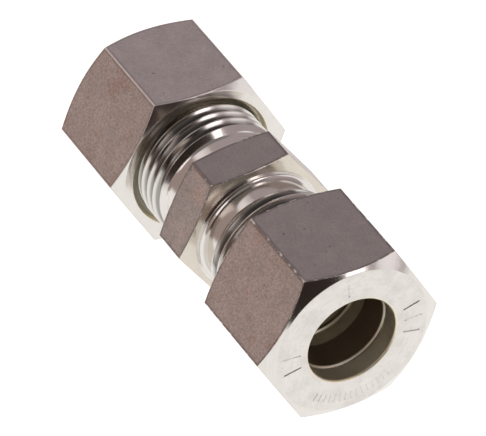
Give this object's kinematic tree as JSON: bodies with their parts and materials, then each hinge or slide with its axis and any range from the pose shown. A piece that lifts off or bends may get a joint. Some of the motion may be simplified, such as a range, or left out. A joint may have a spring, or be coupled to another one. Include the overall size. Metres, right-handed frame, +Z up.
{
  "type": "cutting-ring tube union",
  "caption": "Straight steel tube union: a hexagon body with two threaded ends, and a hexagon nut and cutting ring at each end that clamp a 12 mm tube.",
  "frame": {"origin": "on the bore axis, at the middle of the union body", "axes": "+X along the bore towards the front nut, +Z up from the flats that both nuts lie on, +Y to the right seen from the front nut"},
  "size_m": [0.0546, 0.0254, 0.022],
  "materials": {
    "body_steel": "turned, bright, with satin flats",
    "nut_steel": "satin flats and bright end faces",
    "ring_steel": "turned, semi-bright"
  },
  "bodies": {
    "body": {"union_body": "body_steel"},
    "front_ring": {"front_cutting_ring": "ring_steel"},
    "front_nut": {"front_nut": "nut_steel"},
    "rear_ring": {"rear_cutting_ring": "ring_steel"},
    "rear_nut": {"rear_nut": "nut_steel"}
  },
  "joints": [
    {"name": "front_ring_travel", "type": "slide", "parent": "body", "child": "front_ring", "axis": [1, 0, 0], "range_m": [-0.00398, 0.00225]},
    {"name": "front_nut_turn", "type": "hinge", "parent": "front_ring", "child": "front_nut", "pos_m": [0.01955, 0, 0], "axis": [1, 0, 0], "range_deg": [-954, 540]},
    {"name": "rear_ring_travel", "type": "slide", "parent": "body", "child": "rear_ring", "axis": [1, 0, 0], "range_m": [-0.00225, 0.00398]},
    {"name": "rear_nut_turn", "type": "hinge", "parent": "rear_ring", "child": "rear_nut", "pos_m": [-0.01955, 0, 0], "axis": [1, 0, 0], "range_deg": [-540, 954]}
  ],
  "couplings": [
    {"joint": "front_ring_travel", "follows": "front_nut_turn", "m_per_rad": 0.00023873},
    {"joint": "rear_ring_travel", "follows": "rear_nut_turn", "m_per_rad": 0.00023873}
  ]
}
